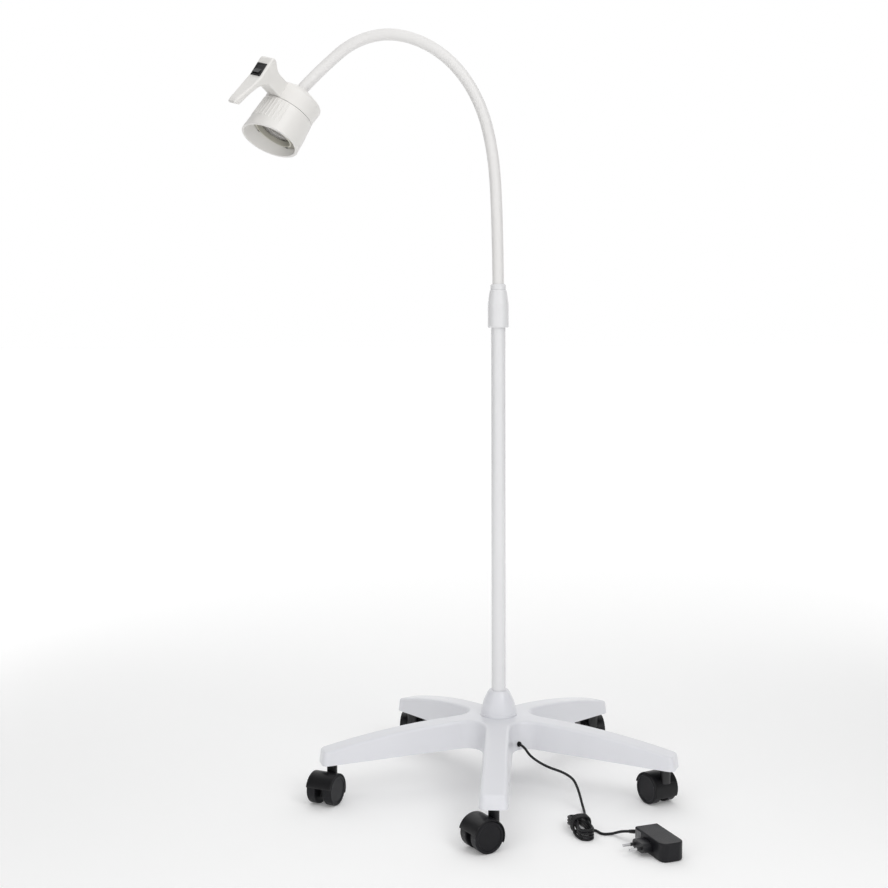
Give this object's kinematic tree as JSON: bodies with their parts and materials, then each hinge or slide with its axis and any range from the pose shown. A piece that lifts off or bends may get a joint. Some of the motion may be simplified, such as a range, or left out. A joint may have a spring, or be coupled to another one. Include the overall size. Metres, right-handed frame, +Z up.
{
  "type": "examination lamp",
  "caption": "Mobile examination lamp: a focusing spotlight with a beak handle on a curved flexible arm, a slim pole and a star base on castors, with a wall adapter.",
  "frame": {"origin": "on the floor under the pole axis", "axes": "+X to the right, away from the lamp head; +Y backwards, away from the arm of the base that points forwards; +Z up along the pole"},
  "size_m": [0.6722, 0.5943, 1.1934],
  "materials": {
    "white_moulding": "satin",
    "white_enamel": "gloss",
    "sleeved_steel": "satin",
    "steel": "satin",
    "black_plastic": "satin",
    "black_rubber": "matt",
    "tread": "satin",
    "bezel_grey": "matt",
    "lens_clear": "clear",
    "reflector_bright": "polished",
    "sink_aluminium": "satin",
    "board": "matt",
    "phosphor": "gloss"
  },
  "bodies": {
    "base": {"star_base": "white_moulding", "hub_cone": "white_moulding", "pole": "white_enamel", "pole_insert": "steel", "pole_fasteners": "steel", "cord_grommet": "black_rubber", "supply_lead": "black_rubber", "coupling_sleeve": "white_moulding", "arm_ferrule": "white_enamel", "gooseneck_base": "sleeved_steel", "power_cord": "black_rubber", "cord_hank": "black_rubber", "cord_tail": "black_rubber", "adapter_case": "black_plastic", "adapter_pins": "steel", "adapter_relief": "black_rubber"},
    "castor_front": {"castor_front_hood": "black_plastic", "castor_front_pins": "steel"},
    "castor_front_left": {"castor_front_wheel_left": "tread"},
    "castor_front_right": {"castor_front_wheel_right": "tread"},
    "castor_right": {"castor_right_hood": "black_plastic", "castor_right_pins": "steel"},
    "castor_right_left": {"castor_right_wheel_left": "tread"},
    "castor_right_right": {"castor_right_wheel_right": "tread"},
    "castor_rear_right": {"castor_rear_right_hood": "black_plastic", "castor_rear_right_pins": "steel"},
    "castor_rear_right_left": {"castor_rear_right_wheel_left": "tread"},
    "castor_rear_right_right": {"castor_rear_right_wheel_right": "tread"},
    "castor_rear_left": {"castor_rear_left_hood": "black_plastic", "castor_rear_left_pins": "steel"},
    "castor_rear_left_left": {"castor_rear_left_wheel_left": "tread"},
    "castor_rear_left_right": {"castor_rear_left_wheel_right": "tread"},
    "castor_left": {"castor_left_hood": "black_plastic", "castor_left_pins": "steel"},
    "castor_left_left": {"castor_left_wheel_left": "tread"},
    "castor_left_right": {"castor_left_wheel_right": "tread"},
    "arm_1": {"gooseneck_link_1": "sleeved_steel"},
    "arm_2": {"gooseneck_link_2": "sleeved_steel"},
    "arm_3": {"gooseneck_link_3": "sleeved_steel"},
    "arm_4": {"gooseneck_link_4": "sleeved_steel"},
    "arm_5": {"gooseneck_link_5": "sleeved_steel"},
    "arm_6": {"gooseneck_link_6": "sleeved_steel"},
    "arm_7": {"gooseneck_link_7": "sleeved_steel"},
    "arm_8": {"gooseneck_link_8": "sleeved_steel"},
    "arm_9": {"gooseneck_link_9": "sleeved_steel"},
    "head": {"gooseneck_tip": "sleeved_steel", "rear_housing": "white_moulding", "neck_nut": "steel", "switch_frame": "black_plastic", "heat_sink": "sink_aluminium", "led_board": "board", "led_chip": "phosphor", "reflector": "reflector_bright", "driver_board": "board"},
    "focus_ring": {"focus_barrel": "white_moulding", "front_bezel": "bezel_grey", "bezel_screws": "steel"},
    "focus_lens": {"lens_carrier": "bezel_grey", "lens": "lens_clear"},
    "rocker": {"switch_rocker": "black_plastic"}
  },
  "joints": [
    {"name": "castor_front_swivel", "type": "hinge", "parent": "base", "child": "castor_front", "pos_m": [-0.00707, -0.26991, 0.067], "axis": [0, 0, 1], "continuous": true},
    {"name": "castor_front_left_spin", "type": "hinge", "parent": "castor_front", "child": "castor_front_left", "pos_m": [-0.01633, -0.29249, 0.0233], "axis": [0.5402, -0.8415, 0], "continuous": true},
    {"name": "castor_front_right_spin", "type": "hinge", "parent": "castor_front", "child": "castor_front_right", "pos_m": [-0.03146, -0.26893, 0.0233], "axis": [0.5402, -0.8415, 0], "continuous": true},
    {"name": "castor_right_swivel", "type": "hinge", "parent": "base", "child": "castor_right", "pos_m": [0.25451, -0.09013, 0.067], "axis": [0, 0, 1], "continuous": true},
    {"name": "castor_right_left_spin", "type": "hinge", "parent": "castor_right", "child": "castor_right_left", "pos_m": [0.23193, -0.08086, 0.0233], "axis": [-0.8415, -0.5402, 0], "continuous": true},
    {"name": "castor_right_right_spin", "type": "hinge", "parent": "castor_right", "child": "castor_right_right", "pos_m": [0.25549, -0.06573, 0.0233], "axis": [-0.8415, -0.5402, 0], "continuous": true},
    {"name": "castor_rear_right_swivel", "type": "hinge", "parent": "base", "child": "castor_rear_right", "pos_m": [0.16437, 0.21421, 0.067], "axis": [0, 0, 1], "continuous": true},
    {"name": "castor_rear_right_left_spin", "type": "hinge", "parent": "castor_rear_right", "child": "castor_rear_right_left", "pos_m": [0.14666, 0.23101, 0.0233], "axis": [-0.9799, -0.1994, 0], "continuous": true},
    {"name": "castor_rear_right_right_spin", "type": "hinge", "parent": "castor_rear_right", "child": "castor_rear_right_right", "pos_m": [0.1741, 0.23659, 0.0233], "axis": [-0.9799, -0.1994, 0], "continuous": true},
    {"name": "castor_rear_left_swivel", "type": "hinge", "parent": "base", "child": "castor_rear_left", "pos_m": [-0.15293, 0.22251, 0.067], "axis": [0, 0, 1], "continuous": true},
    {"name": "castor_rear_left_left_spin", "type": "hinge", "parent": "castor_rear_left", "child": "castor_rear_left_left", "pos_m": [-0.16476, 0.24387, 0.0233], "axis": [-0.9945, 0.1045, 0], "continuous": true},
    {"name": "castor_rear_left_right_spin", "type": "hinge", "parent": "castor_rear_left", "child": "castor_rear_left_right", "pos_m": [-0.13692, 0.24094, 0.0233], "axis": [-0.9945, 0.1045, 0], "continuous": true},
    {"name": "castor_left_swivel", "type": "hinge", "parent": "base", "child": "castor_left", "pos_m": [-0.25888, -0.07668, 0.067], "axis": [0, 0, 1], "continuous": true},
    {"name": "castor_left_left_spin", "type": "hinge", "parent": "castor_left", "child": "castor_left_left", "pos_m": [-0.25381, -0.10056, 0.0233], "axis": [0.9205, -0.3907, 0], "continuous": true},
    {"name": "castor_left_right_spin", "type": "hinge", "parent": "castor_left", "child": "castor_left_right", "pos_m": [-0.27958, -0.08962, 0.0233], "axis": [0.9205, -0.3907, 0], "continuous": true},
    {"name": "gooseneck_side", "type": "hinge", "parent": "base", "child": "arm_1", "pos_m": [0, 0, 0.8235], "axis": [1, 0, 0], "range_deg": [-25, 25]},
    {"name": "gooseneck_bend_1", "type": "hinge", "parent": "arm_1", "child": "arm_2", "pos_m": [-0.00305, 0, 0.94846], "axis": [0, -1, 0], "range_deg": [-4.6, 3]},
    {"name": "gooseneck_bend_2", "type": "hinge", "parent": "arm_2", "child": "arm_3", "pos_m": [-0.00933, 0, 1.00813], "axis": [0, -1, 0], "range_deg": [-7.5, 3]},
    {"name": "gooseneck_bend_3", "type": "hinge", "parent": "arm_3", "child": "arm_4", "pos_m": [-0.0224, 0, 1.06259], "axis": [0, -1, 0], "range_deg": [-13, 3]},
    {"name": "gooseneck_bend_4", "type": "hinge", "parent": "arm_4", "child": "arm_5", "pos_m": [-0.04649, 0, 1.11091], "axis": [0, -1, 0], "range_deg": [-15.5, 3]},
    {"name": "gooseneck_bend_5", "type": "hinge", "parent": "arm_5", "child": "arm_6", "pos_m": [-0.08129, 0, 1.14956], "axis": [0, -1, 0], "range_deg": [-18, 3]},
    {"name": "gooseneck_bend_6", "type": "hinge", "parent": "arm_6", "child": "arm_7", "pos_m": [-0.12632, 0, 1.17556], "axis": [0, -1, 0], "range_deg": [-20, 3]},
    {"name": "gooseneck_bend_7", "type": "hinge", "parent": "arm_7", "child": "arm_8", "pos_m": [-0.17556, 0, 1.18424], "axis": [0, -1, 0], "range_deg": [-26, 3]},
    {"name": "gooseneck_bend_8", "type": "hinge", "parent": "arm_8", "child": "arm_9", "pos_m": [-0.22555, 0, 1.16991], "axis": [0, -1, 0], "range_deg": [-24, 3]},
    {"name": "head_aim", "type": "hinge", "parent": "arm_9", "child": "head", "pos_m": [-0.26538, 0, 1.13648], "axis": [0, -1, 0], "range_deg": [-30, 30]},
    {"name": "focus_turn", "type": "hinge", "parent": "head", "child": "focus_ring", "pos_m": [-0.3216, -0.0257, 1.0621], "axis": [-0.48, -0.2588, -0.8382], "range_deg": [0, 90]},
    {"name": "focus_slide", "type": "slide", "parent": "head", "child": "focus_lens", "axis": [-0.48, -0.2588, -0.8382], "range_m": [0, 0.005]},
    {"name": "switch_rock", "type": "hinge", "parent": "head", "child": "rocker", "pos_m": [-0.3538, -0.09, 1.11411], "axis": [0.7654, -0.5904, -0.256], "range_deg": [0, 20]}
  ],
  "couplings": [
    {"joint": "focus_slide", "follows": "focus_turn", "m_per_rad": 0.00318}
  ]
}
